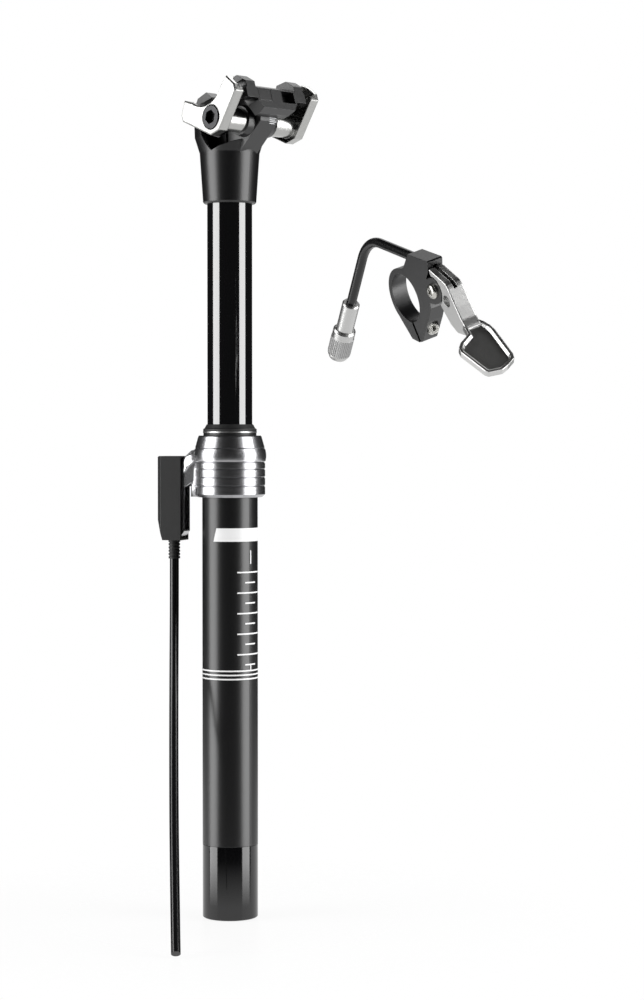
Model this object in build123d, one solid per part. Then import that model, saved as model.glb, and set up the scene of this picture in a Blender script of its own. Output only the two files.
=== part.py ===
from build123d import *
import math
import os

# Dropper seatpost with a cable actuator at its collar, a one-bolt saddle clamp
# and a separate thumb remote.  Millimetres, +Z up along the post, origin at the
# bottom of the shank, saddle rails along X, clamp bolt along Y.

# Clearances shared by the fits
RUN = 0.05                # radial play of a piece that turns or slides in a bore
SEAT = 0.02               # radial play of a piece that is screwed or pressed in
FACE = 0.1                # gap between a moving piece and what it works against
REST = 0.3                # gap at rest between pieces of different bodies

# Lower tube, base cap and travel
SHANK_R = 13.6            # 27.2 mm seat tube size
TUBE_WALL = 1.6
CAP_HEIGHT = 36.0
CAP_FLOOR = 8.0
CAP_SPIGOT = 10.0
COLLAR_BOTTOM = 206.4
THREAD_LENGTH = 7.6       # tube end inside the collar
THREAD_STEP = 0.3         # the threaded end is this much thinner
TRAVEL = 100.0
DROP_MARGIN = 4.0         # left over below the stanchion at full drop

# Stanchion and what it carries
STANCHION_R = 11.0
STANCHION_WALL = 1.5
HEAD_BOTTOM = 349.5
HEAD_SOCKET = 22.0        # depth of the stanchion in the head
BUSH_LENGTH = 12.0
KEY_WIDTH = 2.0
KEY_LENGTH = 12.0
KEY_DEPTH = 0.65          # keys sunk into the stanchion
GROOVE_DEPTH = 0.6        # key grooves in the lower tube

# Collar, its bushing and seals
COLLAR_TOP = 236.5
COLLAR_NECK_R = 17.25
COLLAR_BELLY = 0.55       # how far the collar's widest band stands out from its neck
COLLAR_TAPER = 2.1        # how much smaller the collar is at its top than at its neck
GROOVE_Z = [211.9, 216.1, 220.1, 223.4, 230.4]
COLLAR_GROOVE = 0.45      # depth and half width of the turned grooves
LAND_PLAY = 0.6           # gap round the stanchion at the collar's land
SEAL_POCKET_Z = 233.0
SEAL_POCKET_R = 13.0
BUSH_POCKET_Z = 221.0
WIPER_TOP = 242.0
WIPER_R = 13.1

# Actuator on the collar, in a frame whose X points away from the post
ARM_ANGLE = 208.0
PIN_Z = 216.5             # height of the push pin
PIN_R = 1.5
PIVOT = (21.0, 221.5)     # lever pivot: distance from the post's axis, height
PIVOT_R = 1.5
CABLE_U = 29.07           # distance of the cable from the post's axis
ANCHOR_RISE = 1.06        # anchor above the pivot
NOSE = (-2.0, -5.0)       # lever nose from the pivot
NOSE_R = 1.2
LEVER_HALF = 2.3
CHEEK_IN = 2.7
CHEEK_OUT = 4.1
PIN_SKIN = 0.6            # left closed over one end of the pivot pin
BRACKET_BOTTOM = 186.4
BRACKET_WEB = 4.0
COVER_BOTTOM = 185.0
COVER_TOP = 226.4
COVER_IN = 23.7
COVER_OUT = 36.4
COVER_WALL = 1.3
COVER_HALF = 5.6
RELIEF_LENGTH = 9.5
RELIEF_R = 2.95
HOUSING_R = 2.25
WIRE_R = 0.6
BAR_WIDTH = 3.8
BAR_FLANGE = 5.6
BAR_DEPTH = 2.6           # radial depth of the release bar's stem and flange
SLOT_PLAY = 0.1

# Gas strut
STRUT_R = 6.8
STRUT_WALL = 1.0
ROD_R = 4.0
GLAND_Z = 186.0
GLAND_LENGTH = 8.0
PISTON_LENGTH = 6.0
BUMPER_LENGTH = 1.6
STRUT_TOP = 338.0
STRUT_END = 6.0
VALVE_R = 1.5
VALVE_RISE = 5.9

# Head: sleeve on the stanchion, cup behind the clamp and web under the barrel
SLEEVE_R = 13.0
SLEEVE_FLARE = 1.6        # how much wider the sleeve is at its top
SLEEVE_TOP = 374.0
CUP_R = 17.0
CUP_WALL = 3.0
CUP_TOP = 387.5
SCOOP_X = 1.4             # the scooped rim rises forward from here
SCOOP_RISE = 0.41
SWING_R = 19.8            # room for the cradle's ends as it tilts
WEB_HALF = 5.8
WEB_BACK = -2.8
BACK_WEB_HALF = 2.5
NECK = 8.0                # from the clamp's axis to the slanted front of the web
SLIT_X = 3.5
SLIT_WIDTH = 1.7
SLIT_DEPTH = 2.8

# Saddle clamp, in a frame on the bolt's axis with X along the rails
CLAMP_X = 17.0
CLAMP_Z = 388.0
CLAMP_TILT = 17.5
BARREL_R = 11.0
BARREL_HALF = 9.5
BOSS_R = 5.9
BOSS_DEPTH = 9.0          # how far the bosses reach into the barrel
RAIL_R = 3.5
RAIL_Y = 22.0
RAIL_Z = 10.6
PLATE_IN = 22.5
PLATE_THICK = 5.5
JAW_HALF = 18.7
EAR_IN = 12.9
EAR_OUT = 19.4
BOLT_R = 4.0
BOLT_HEAD_R = 5.8
BOLT_HEAD = 4.2
NUT_R = 5.8

# Remote: frame on the handlebar's axis, X down the clamp, Z along the bar
REMOTE_RIGHT = 84.8
REMOTE_TOWARD = 131.0
REMOTE_Z = 298.0
BAR_R = 11.1
CLAMP_HALF = 3.8
CLAMP_WALL = 2.5
LEVER_PIVOT = (2.6, 27.4)
LEVER_PIVOT_R = 2.0
EAR_R = 5.9
EAR_THICK = 1.8
NOODLE_R = 2.2
NOODLE_START = (-13.7, 16.3)
BLOCK_DIR = (0.440, 0.898)
NOODLE_IN_BLOCK = 6.0
NOODLE_REACH = 41.0       # from the block to the corner of the bend
NOODLE_LEG = 41.4         # from that corner to the free end
LEG_DIR = (0.631, -0.757, 0.171)
NOODLE_BEND = 17.0
FERRULE_LENGTH = 14.8
FERRULE_OVER = 5.0        # ferrule over the noodle's end
FERRULE_R = 4.0
THREAD_R = 2.0            # threaded tube that the adjuster turns on
ADJUSTER_LENGTH = 16.2
ADJUSTER_R = 5.2
SOCKET_R = 2.6            # socket for the end of a cable housing
SOCKET_DEPTH = 3.4
LEVER_WIDE = 8.0          # how far the lever's arm reaches past its middle plane
CABLE_EYE = (7.1, 38.4)
EYE_R = 3.1
SLOT_HALF = 1.4           # slot that leads the cable into the lever
PAD_START = (25.0, 47.0)
PAD_DIR = (0.677, 0.736)
PAD_THICK = 2.4
PAD_RIM = 0.5
PAD_DISH = 0.9
PINCH_X = 16.8
PINCH_R = 1.5

TUBE_BORE = SHANK_R - TUBE_WALL
TUBE_TOP = COLLAR_BOTTOM + THREAD_LENGTH
SPIGOT_TOP = CAP_HEIGHT + CAP_SPIGOT
STANCHION_BOTTOM = SPIGOT_TOP + TRAVEL + DROP_MARGIN
STANCHION_TOP = HEAD_BOTTOM + HEAD_SOCKET
STANCHION_BORE = STANCHION_R - STANCHION_WALL
KEY_Z = STANCHION_BOTTOM + BUSH_LENGTH + 4
SLOT_BOTTOM = PIN_Z - 6.5
SLOT_TOP = HEAD_BOTTOM - 0.5

ARM = Location((0, 0, 0), (0, 0, ARM_ANGLE))
CLAMP = Location((CLAMP_X, 0, CLAMP_Z), (0, -CLAMP_TILT, 0))
HALF_SQRT = math.sqrt(0.5)


def view_vector(right, up, toward):
    """Turn a direction seen from the front quarter into the row frame."""
    return Vector((right + toward) * HALF_SQRT, (right - toward) * HALF_SQRT, up)


def remote_location():
    origin = view_vector(REMOTE_RIGHT, REMOTE_Z, REMOTE_TOWARD)
    down = view_vector(0.374, -0.927, 0.0)
    along = view_vector(-0.850, -0.343, 0.400)
    return Plane(origin, x_dir=down, z_dir=along).location


REMOTE = remote_location()


def turned(points):
    """Revolve a closed outline of (radius, height) points about Z."""
    outline = Polyline(*[(r, z) for r, z in points], close=True)
    face = make_face(Plane.XZ * outline)
    return revolve(face, Axis.Z)


def ring(inner, outer, bottom, top):
    return turned([(inner, bottom), (outer, bottom), (outer, top), (inner, top)])


def rod(radius, start, end):
    """Cylinder from one point to another."""
    start = Vector(*start)
    direction = Vector(*end) - start
    plane = Plane(start, z_dir=direction)
    return extrude(plane * Circle(radius), direction.length)


def bar(low, high):
    """Box between two corners."""
    size = [h - l for l, h in zip(low, high)]
    return Pos(*low) * Box(*size, align=(Align.MIN, Align.MIN, Align.MIN))


def plate(points, plane, start, end):
    """Extrude a closed outline from one offset of a plane to another."""
    face = make_face(plane.offset(start) * Polyline(*points, close=True))
    return extrude(face, end - start, dir=plane.z_dir)


def side_plate(points, half):
    """Plate in the arm frame: points are (distance out, height)."""
    return plate(points, Plane.XZ, -half, half)


# Shank: lower tube with key grooves and the cap that closes it

def key_angles():
    return [ARM_ANGLE + 60, ARM_ANGLE + 180, ARM_ANGLE + 300]


def lower_tube():
    body = turned([
        (TUBE_BORE, CAP_HEIGHT),
        (SHANK_R, CAP_HEIGHT),
        (SHANK_R, COLLAR_BOTTOM),
        (SHANK_R - THREAD_STEP, COLLAR_BOTTOM),
        (SHANK_R - THREAD_STEP, TUBE_TOP),
        (TUBE_BORE, TUBE_TOP),
    ])
    half = KEY_WIDTH / 2 + RUN
    for angle in key_angles():
        groove = bar((STANCHION_R, -half, SPIGOT_TOP + 2), (TUBE_BORE + GROOVE_DEPTH, half, TUBE_TOP))
        body -= Rot(0, 0, angle) * groove
    return body


def base_cap():
    chamfer_size = 0.4
    bolt_pocket = 4.5
    cavity_r = TUBE_BORE - 3.0
    return turned([
        (3.1, bolt_pocket),
        (6.5, bolt_pocket),
        (6.5, 0),
        (SHANK_R - chamfer_size, 0),
        (SHANK_R, chamfer_size),
        (SHANK_R, CAP_HEIGHT),
        (TUBE_BORE - SEAT, CAP_HEIGHT),
        (TUBE_BORE - SEAT, SPIGOT_TOP),
        (cavity_r, SPIGOT_TOP),
        (cavity_r, CAP_FLOOR),
        (3.1, CAP_FLOOR),
    ])


def strut_bolt():
    head = ring(0, 5.0, 0.6, 4.5)
    shaft = ring(0, 3.0, 4.5, CAP_FLOOR + 14)
    socket = extrude(Plane.XY.offset(0.6) * RegularPolygon(2.9, 6), 2.4)
    return head + shaft - socket


# Collar: turned body with grooves, land, bushing and seal pockets

def collar():
    land_r = STANCHION_R + LAND_PLAY
    neck = COLLAR_NECK_R
    belly = neck + COLLAR_BELLY
    with BuildPart() as body:
        with BuildSketch(Plane.XZ):
            with BuildLine():
                Polyline(
                    (SHANK_R, COLLAR_BOTTOM),
                    (neck - 1.4, COLLAR_BOTTOM),
                    (neck, COLLAR_BOTTOM + 1.4),
                    (neck, GROOVE_Z[3]),
                )
                ThreePointArc((neck, GROOVE_Z[3]), (belly, 226.8), (neck - 0.15, GROOVE_Z[4]))
                Polyline(
                    (neck - 0.15, GROOVE_Z[4]),
                    (neck - COLLAR_TAPER + 0.4, COLLAR_TOP - 0.6),
                    (neck - COLLAR_TAPER, COLLAR_TOP),
                    (SEAL_POCKET_R, COLLAR_TOP),
                    (SEAL_POCKET_R, SEAL_POCKET_Z),
                    (STANCHION_R + 1.0, SEAL_POCKET_Z),
                    (STANCHION_R + 1.0, BUSH_POCKET_Z),
                    (land_r, BUSH_POCKET_Z),
                    (land_r, TUBE_TOP + SEAT),
                    (SHANK_R - THREAD_STEP + SEAT, TUBE_TOP + SEAT),
                    (SHANK_R - THREAD_STEP + SEAT, COLLAR_BOTTOM),
                    (SHANK_R, COLLAR_BOTTOM),
                )
            make_face()
        revolve(axis=Axis.Z)
    body = body.part
    for height in GROOVE_Z:
        body -= turned([
            (neck - COLLAR_GROOVE, height),
            (neck + 1.0, height + COLLAR_GROOVE + 1.0),
            (neck + 1.0, height - COLLAR_GROOVE - 1.0),
        ])
    bracket = ARM * bracket_solid()
    body = body + bracket
    body -= ARM * rod(PIN_R + RUN, (land_r - 1, 0, PIN_Z), (belly + 1, 0, PIN_Z))
    return body


def bracket_solid():
    """Two cheeks that carry the lever, a bottom web and a rib down the collar."""
    inside = SHANK_R + 1.0
    neck = COLLAR_NECK_R
    cheek = [
        (inside, 230.0),
        (neck + 1.3, 229.2),
        (23.6, 224.8),
        (33.6, 224.4),
        (33.6, 196.0),
        (31.5, BRACKET_BOTTOM),
        (24.6, BRACKET_BOTTOM),
        (22.4, 189.5),
        (22.4, 211.0),
        (neck + 1.7, 213.4),
        (inside, 213.4),
    ]
    solid = side_plate(cheek, CHEEK_OUT)
    slot = [
        (neck + 0.15, 213.0),
        (neck + 2.1, 212.0),
        (21.8, 210.0),
        (21.8, BRACKET_BOTTOM + BRACKET_WEB),
        (34.0, BRACKET_BOTTOM + BRACKET_WEB),
        (34.0, 228.0),
        (neck + 0.15, 231.0),
    ]
    solid -= side_plate(slot, CHEEK_IN)
    rib = [(inside, COLLAR_BOTTOM + 0.4), (neck + 0.4, COLLAR_BOTTOM + 1.2), (neck + 1.2, 213.6),
           (inside, 213.6)]
    solid += side_plate(rib, 2.8)
    step_z = BRACKET_BOTTOM + 1.8
    solid -= rod(RELIEF_R, (CABLE_U, 0, BRACKET_BOTTOM - 1), (CABLE_U, 0, step_z))
    solid -= rod(HOUSING_R, (CABLE_U, 0, step_z), (CABLE_U, 0, step_z + 5))
    solid -= rod(PIVOT_R + SEAT, (PIVOT[0], -CHEEK_OUT - 1, PIVOT[1]), (PIVOT[0], CHEEK_OUT - PIN_SKIN, PIVOT[1]))
    for height in cover_screw_heights():
        solid -= rod(1.0, (30.0, -CHEEK_OUT - 1, height), (30.0, -CHEEK_IN + 0.5, height))
    return solid


def cover_screw_heights():
    return [198.0, 216.0]


def upper_bushing():
    return ring(STANCHION_R + RUN, STANCHION_R + 1.0 - SEAT, BUSH_POCKET_Z, SEAL_POCKET_Z - 1.0)


def seal_carrier():
    outer = SEAL_POCKET_R - SEAT
    return turned([
        (STANCHION_R + 0.9, SEAL_POCKET_Z),
        (outer, SEAL_POCKET_Z),
        (outer, COLLAR_TOP + 1.3),
        (STANCHION_R + 0.9, COLLAR_TOP + 1.3),
    ])


def seal_ring():
    return ring(STANCHION_R + 0.9, SEAL_POCKET_R + 0.2, COLLAR_TOP + 1.3, COLLAR_TOP + 2.0)


def wiper_seal():
    lip = STANCHION_R + RUN
    flange_z = COLLAR_TOP + 2.0
    return turned([
        (lip, WIPER_TOP),
        (lip + 0.3, WIPER_TOP),
        (WIPER_R - 0.7, flange_z + 1.6),
        (WIPER_R, flange_z + 1.2),
        (WIPER_R, flange_z),
        (STANCHION_R + 0.9 - SEAT, flange_z),
        (STANCHION_R + 0.9 - SEAT, SEAL_POCKET_Z + 0.6),
        (lip + 0.3, SEAL_POCKET_Z + 0.6),
        (lip + 0.3, WIPER_TOP - 1.2),
        (lip, WIPER_TOP - 0.8),
    ])


# Actuator: lever, pins, wire and cover, drawn in the arm frame

def actuator_lever():
    anchor = (CABLE_U, PIVOT[1] + ANCHOR_RISE)
    nose = (PIVOT[0] + NOSE[0] + NOSE_R, PIVOT[1] + NOSE[1])
    low, high = -LEVER_HALF, LEVER_HALF
    solid = rod(2.8, (PIVOT[0], low, PIVOT[1]), (PIVOT[0], high, PIVOT[1]))
    solid += rod(NOSE_R, (nose[0], low, nose[1]), (nose[0], high, nose[1]))
    solid += side_plate([
        (nose[0] - NOSE_R, nose[1]),
        (nose[0] + 1.0, nose[1] - 0.6),
        (PIVOT[0] + 2.8, PIVOT[1]),
        (PIVOT[0] - 2.4, PIVOT[1]),
    ], LEVER_HALF)
    solid += side_plate([
        (PIVOT[0], PIVOT[1] - 2.7),
        (anchor[0] - 1.5, anchor[1] - 4.6),
        (anchor[0] + 2.4, anchor[1] - 4.6),
        (anchor[0] + 3.6, anchor[1] - 2.0),
        (anchor[0] + 3.6, anchor[1] + 0.8),
        (PIVOT[0], PIVOT[1] + 2.7),
    ], LEVER_HALF)
    solid -= rod(PIVOT_R + RUN, (PIVOT[0], low - 1, PIVOT[1]), (PIVOT[0], high + 1, PIVOT[1]))
    solid -= rod(2.05, (anchor[0], low - 1, anchor[1]), (anchor[0], high + 1, anchor[1]))
    solid -= bar((anchor[0] - 1.3, -1.0, anchor[1] - 6), (anchor[0] + 5.0, 1.0, anchor[1]))
    solid -= bar((anchor[0] - 1.3, low - 1, anchor[1]), (anchor[0] + 1.3, high + 1, anchor[1] + 4))
    return ARM * solid


def lever_pivot_pin():
    end = CHEEK_OUT - PIN_SKIN - FACE
    solid = rod(PIVOT_R, (PIVOT[0], -CHEEK_OUT, PIVOT[1]), (PIVOT[0], end, PIVOT[1]))
    solid += rod(PIVOT_R + 0.8, (PIVOT[0], -CHEEK_OUT - 0.7, PIVOT[1]), (PIVOT[0], -CHEEK_OUT, PIVOT[1]))
    return ARM * solid


def push_pin():
    start = STANCHION_R + 0.2
    end = PIVOT[0] + NOSE[0] - FACE
    return ARM * rod(PIN_R, (start, 0, PIN_Z), (end, 0, PIN_Z))


def release_wire():
    anchor = (CABLE_U, PIVOT[1] + ANCHOR_RISE)
    wire = rod(WIRE_R, (CABLE_U, 0, BRACKET_BOTTOM + 3.4), (CABLE_U, 0, anchor[1]))
    barrel = rod(1.9, (CABLE_U, -LEVER_HALF, anchor[1]), (CABLE_U, LEVER_HALF, anchor[1]))
    return ARM * (wire + barrel)


def return_spring():
    bottom = BRACKET_BOTTOM + BRACKET_WEB + 0.6
    top = PIVOT[1] + ANCHOR_RISE - 4.6 - 0.2
    return ARM * Pos(CABLE_U, 0, 0) * ring(1.3, 2.2, bottom, top)


def actuator_cover():
    outline = [
        (COVER_IN, COVER_BOTTOM),
        (COVER_OUT - 3.0, COVER_BOTTOM),
        (COVER_OUT, COVER_BOTTOM + 10),
        (COVER_OUT, COVER_TOP - 0.6),
        (COVER_OUT - 0.8, COVER_TOP),
        (COVER_IN, COVER_TOP),
    ]
    shell = side_plate(outline, COVER_HALF)
    edges = shell.edges().filter_by(Axis.Z).group_by(Axis.X)[-1]
    shell = chamfer(edges, 2.0)
    inner = CHEEK_OUT + REST / 3
    cavity = [
        (COVER_IN - 1, COVER_BOTTOM + COVER_WALL),
        (COVER_OUT - 3.0 - COVER_WALL / 2, COVER_BOTTOM + COVER_WALL),
        (COVER_OUT - COVER_WALL - 1.0, COVER_BOTTOM + 10),
        (COVER_OUT - COVER_WALL - 1.0, COVER_TOP - COVER_WALL),
        (COVER_IN - 1, COVER_TOP - COVER_WALL),
    ]
    shell -= side_plate(cavity, inner)
    shell -= rod(RELIEF_R + SEAT, (CABLE_U, 0, COVER_BOTTOM - 1), (CABLE_U, 0, COVER_BOTTOM + 2))
    for height in cover_screw_heights():
        shell -= rod(1.3, (30.0, -COVER_HALF - 1, height), (30.0, 0, height))
    return ARM * shell


def cover_screws():
    solids = []
    for height in cover_screw_heights():
        shaft = rod(1.0 - SEAT, (30.0, -COVER_HALF, height), (30.0, -CHEEK_IN - 0.2, height))
        head = rod(2.0, (30.0, -COVER_HALF - 0.9, height), (30.0, -COVER_HALF, height))
        socket = rod(0.8, (30.0, -COVER_HALF - 1.0, height), (30.0, -COVER_HALF - 0.3, height))
        solids.append(ARM * (head + shaft - socket))
    return Compound(children=solids)


def housing_ferrule():
    step_z = BRACKET_BOTTOM + 1.8
    profile = [
        (WIRE_R + 0.15, step_z - 0.9),
        (HOUSING_R + SEAT, step_z - 0.9),
        (HOUSING_R + SEAT, COVER_BOTTOM + 0.4),
        (RELIEF_R - SEAT, COVER_BOTTOM + 0.4),
        (RELIEF_R - SEAT, step_z),
        (HOUSING_R - SEAT, step_z),
        (HOUSING_R - SEAT, step_z + 2.8),
        (WIRE_R + 0.15, step_z + 2.8),
    ]
    return ARM * Pos(CABLE_U, 0, 0) * turned(profile)


def strain_relief():
    top = COVER_BOTTOM + 0.4
    bottom = top - RELIEF_LENGTH
    ribs = 5
    pitch = (RELIEF_LENGTH - 1.4) / ribs
    points = [(HOUSING_R + SEAT, bottom)]
    for index in range(ribs):
        low = bottom + index * pitch
        points += [(RELIEF_R - 0.1, low), (RELIEF_R - 0.1, low + pitch * 0.6)]
        points += [(RELIEF_R - 0.5, low + pitch * 0.65), (RELIEF_R - 0.5, low + pitch * 0.95)]
    points += [(RELIEF_R - SEAT, top - 1.4), (RELIEF_R - SEAT, top), (HOUSING_R + SEAT, top)]
    return ARM * Pos(CABLE_U, 0, 0) * turned(points)


# Route of the cable housing as seen from the front quarter: to the right of the
# post's axis, toward the viewer, and height.  It leans forward to the floor.
CABLE_ROUTE = [
    (-27.8, -8.5, BRACKET_BOTTOM + 0.9),
    (-27.8, -8.5, 158.0),
    (-27.4, 3.5, 122.0),
    (-26.0, 29.5, 82.0),
    (-23.9, 62.5, 40.0),
    (-21.2, 97.0, 1.6),
]


def cable_points():
    foot = (ARM * Pos(CABLE_U, 0, 0)).position
    points = [view_vector(right, z, toward) for right, toward, z in CABLE_ROUTE]
    shift = Vector(foot.X - points[0].X, foot.Y - points[0].Y, 0)
    return [point + shift for point in points]


def corner_radii(points):
    radii = []
    for before, here, after in zip(points, points[1:], points[2:]):
        run_in = here - before
        run_out = after - here
        turn = math.radians(run_in.get_angle(run_out))
        radii.append(0.45 * min(run_in.length, run_out.length) / math.tan(turn / 2))
    return radii


def cable_housing():
    points = cable_points()
    radii = corner_radii(points)
    print("cable housing radii", [round(r) for r in radii])
    path = FilletPolyline(*points, radius=radii)
    section = Plane(points[0], z_dir=points[1] - points[0]) * Circle(HOUSING_R)
    tube = sweep(section, path=path)
    length = path.length
    print("cable housing length", round(length, 1), "volume ratio",
          round(tube.volume / (math.pi * HOUSING_R ** 2 * length), 4))
    return tube


# Stanchion: slotted tube, release bar, bushing and keys

def stanchion_tube():
    body = ring(STANCHION_BORE, STANCHION_R, STANCHION_BOTTOM, STANCHION_TOP)
    half = BAR_WIDTH / 2 + SLOT_PLAY
    body -= ARM * bar((STANCHION_BORE - 2, -half, SLOT_BOTTOM), (STANCHION_R + 1, half, SLOT_TOP))
    half = KEY_WIDTH / 2 + SEAT
    for angle in key_angles():
        pocket = bar(
            (STANCHION_R - KEY_DEPTH - SEAT, -half, KEY_Z - SEAT),
            (STANCHION_R + 1, half, KEY_Z + KEY_LENGTH + SEAT),
        )
        body -= Rot(0, 0, angle) * pocket
    return body


def lower_bushing():
    return ring(STANCHION_R + SEAT, TUBE_BORE - RUN, STANCHION_BOTTOM, STANCHION_BOTTOM + BUSH_LENGTH)


def guide_keys():
    solids = []
    for angle in key_angles():
        low = (STANCHION_R - KEY_DEPTH, -KEY_WIDTH / 2, KEY_Z)
        high = (TUBE_BORE + GROOVE_DEPTH - RUN, KEY_WIDTH / 2, KEY_Z + KEY_LENGTH)
        solids.append(Rot(0, 0, angle) * bar(low, high))
    return Compound(children=solids)


def release_bar():
    """Bar in the stanchion's slot with a ramp at its top over the valve pin."""
    outer = STANCHION_R - 0.1
    inner = outer - BAR_DEPTH
    bottom = SLOT_BOTTOM + 1.0
    top = SLOT_TOP - 0.2
    half = BAR_WIDTH / 2
    flange_out = math.sqrt(STANCHION_BORE ** 2 - (BAR_FLANGE / 2) ** 2) - FACE
    stem = bar((inner, -half, bottom), (STANCHION_R + 1, half, top))
    stem &= ring(0, outer, bottom, top)
    flange = bar((inner, -BAR_FLANGE / 2, bottom + 2), (flange_out, BAR_FLANGE / 2, STRUT_TOP - 22))
    ramp_low = STRUT_TOP + VALVE_RISE + REST
    tongue = side_plate([
        (-2.4, ramp_low + 2.4),
        (4.0, ramp_low - 4.0),
        (inner + 1, ramp_low - 4.0),
        (inner + 1, top),
        (-2.4, top),
    ], half)
    return ARM * (stem + flange + tongue)


# Gas strut between the base cap and the head

def strut_rod():
    body = ring(0, ROD_R, CAP_FLOOR, GLAND_Z + GLAND_LENGTH + BUMPER_LENGTH + PISTON_LENGTH)
    return body - ring(0, 3.0 + SEAT, CAP_FLOOR, CAP_FLOOR + 15)


def strut_piston():
    bottom = GLAND_Z + GLAND_LENGTH + FACE + BUMPER_LENGTH
    bore = STRUT_R - STRUT_WALL
    return turned([
        (ROD_R + SEAT, bottom),
        (bore - RUN, bottom),
        (bore - RUN, bottom + 1.8),
        (bore - 0.8, bottom + 2.2),
        (bore - 0.8, bottom + 3.4),
        (bore - RUN, bottom + 3.8),
        (bore - RUN, bottom + PISTON_LENGTH),
        (ROD_R + SEAT, bottom + PISTON_LENGTH),
    ])


def topout_bumper():
    bottom = GLAND_Z + GLAND_LENGTH + FACE
    return ring(ROD_R + SEAT, STRUT_R - STRUT_WALL - 0.4, bottom, bottom + BUMPER_LENGTH)


def strut_gland():
    return turned([
        (ROD_R + RUN, GLAND_Z),
        (STRUT_R, GLAND_Z),
        (STRUT_R, GLAND_Z + 3),
        (STRUT_R - STRUT_WALL - SEAT, GLAND_Z + 3),
        (STRUT_R - STRUT_WALL - SEAT, GLAND_Z + GLAND_LENGTH),
        (ROD_R + RUN, GLAND_Z + GLAND_LENGTH),
    ])


def strut_cylinder():
    bore = STRUT_R - STRUT_WALL
    return turned([
        (bore, GLAND_Z + 3),
        (STRUT_R, GLAND_Z + 3),
        (STRUT_R, STRUT_TOP),
        (VALVE_R + RUN, STRUT_TOP),
        (VALVE_R + RUN, STRUT_TOP - STRUT_END),
        (bore, STRUT_TOP - STRUT_END),
    ])


def strut_plug():
    """Ring that centres the strut in the stanchion, open where the bar passes."""
    low = STRUT_TOP - 20
    body = ring(STRUT_R + SEAT, STANCHION_BORE - SEAT, low, STRUT_TOP - 6)
    half = BAR_WIDTH / 2 + 2 * SLOT_PLAY
    return body - ARM * bar((STRUT_R - 2, -half, low - 1), (STANCHION_R, half, STRUT_TOP))


def valve_pin():
    top = STRUT_TOP + VALVE_RISE
    body = rod(VALVE_R, (0, 0, STRUT_TOP - STRUT_END + 0.5), (0, 0, top + VALVE_R + 1))
    ramp = side_plate([
        (-8.0, top + 8.0),
        (8.0, top - 8.0),
        (8.0, top + 20.0),
        (-8.0, top + 20.0),
    ], 6)
    return ARM * (body - ramp)


# Head: tapered sleeve that grows into the clamp barrel

def head():
    shoulder_r = SLEEVE_R + SLEEVE_FLARE
    outer = turned([
        (0, HEAD_BOTTOM),
        (SLEEVE_R - 0.8, HEAD_BOTTOM),
        (SLEEVE_R, HEAD_BOTTOM + 0.8),
        (shoulder_r, SLEEVE_TOP),
        (CUP_R, SLEEVE_TOP + 7.5),
        (CUP_R + 0.2, CUP_TOP),
        (0, CUP_TOP),
    ])
    solid = outer - scoop()
    back_web = plate([
        (-CUP_R, SLEEVE_TOP - 1),
        (WEB_BACK + 1, SLEEVE_TOP - 1),
        (WEB_BACK + 1, SLEEVE_TOP + 7),
        (-CUP_R, SLEEVE_TOP + 12),
    ], Plane.XZ, -BACK_WEB_HALF, BACK_WEB_HALF)
    solid += back_web & outer
    solid += web_solid()
    solid += barrel_solid()
    for side in (-1, 1):
        near, far = sorted((side * (WEB_HALF - SLIT_DEPTH), side * (WEB_HALF + 0.1)))
        solid -= bar((SLIT_X, near, SLEEVE_TOP + 1.6), (SLIT_X + SLIT_WIDTH, far, CUP_TOP))
    # bore for the clamp's bosses, then the socket for the stanchion
    solid -= rod(BOSS_R + RUN, (CLAMP_X, -30, CLAMP_Z), (CLAMP_X, 30, CLAMP_Z))
    solid -= ring(0, STANCHION_R + SEAT, HEAD_BOTTOM - 1, STANCHION_TOP)
    return solid


def scoop():
    """What is cut out of the cup: its hollow, and the room that the cradle needs to tilt."""
    hollow = ring(0, CUP_R - CUP_WALL, SLEEVE_TOP, CUP_TOP + 1)
    swing = rod(SWING_R, (CLAMP_X, -CUP_R - 1, CLAMP_Z), (CLAMP_X, CUP_R + 1, CLAMP_Z))
    front = CLAMP_X + SWING_R
    above_rim = plate([
        (-CUP_R, SLEEVE_TOP),
        (SCOOP_X, SLEEVE_TOP),
        (front, SLEEVE_TOP + SCOOP_RISE * (front - SCOOP_X)),
        (front, CLAMP_Z + SWING_R),
        (-CUP_R, CLAMP_Z + SWING_R),
    ], Plane.XZ, -CUP_R - 1, CUP_R + 1)
    return (hollow + swing) & above_rim


def web_solid():
    """Web from the sleeve up to the barrel, with a slanted front."""
    axis = Vector(CLAMP_X, CLAMP_Z)
    foot = Vector(SLEEVE_R + 1.2, SLEEVE_TOP + 0.3)
    # the slanted front is tangent to a circle of radius NECK about the clamp's axis
    reach = (axis - foot).length
    slope = math.atan2(axis.Y - foot.Y, axis.X - foot.X) - math.asin(NECK / reach)
    along = Vector(math.cos(slope), math.sin(slope))
    touch = foot + along * math.sqrt(reach ** 2 - NECK ** 2)
    end = foot + along * 2 * reach
    disc = rod(BARREL_R, (CLAMP_X, -WEB_HALF, CLAMP_Z), (CLAMP_X, WEB_HALF, CLAMP_Z))
    under = plate([
        (foot.X, foot.Y),
        (end.X, end.Y),
        (end.X, foot.Y - BARREL_R),
        (foot.X, foot.Y - BARREL_R),
    ], Plane.XZ, -WEB_HALF - 1, WEB_HALF + 1)
    arm = plate([
        (WEB_BACK, SLEEVE_TOP - 1),
        (foot.X - 1.2, SLEEVE_TOP - 1),
        (foot.X, foot.Y),
        (touch.X, touch.Y),
        (CLAMP_X, CLAMP_Z),
        (CLAMP_X - 0.94 * BARREL_R, CLAMP_Z - 0.33 * BARREL_R),
        (WEB_BACK, SLEEVE_TOP + 7.2),
    ], Plane.XZ, -WEB_HALF, WEB_HALF)
    return disc - under + arm


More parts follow.
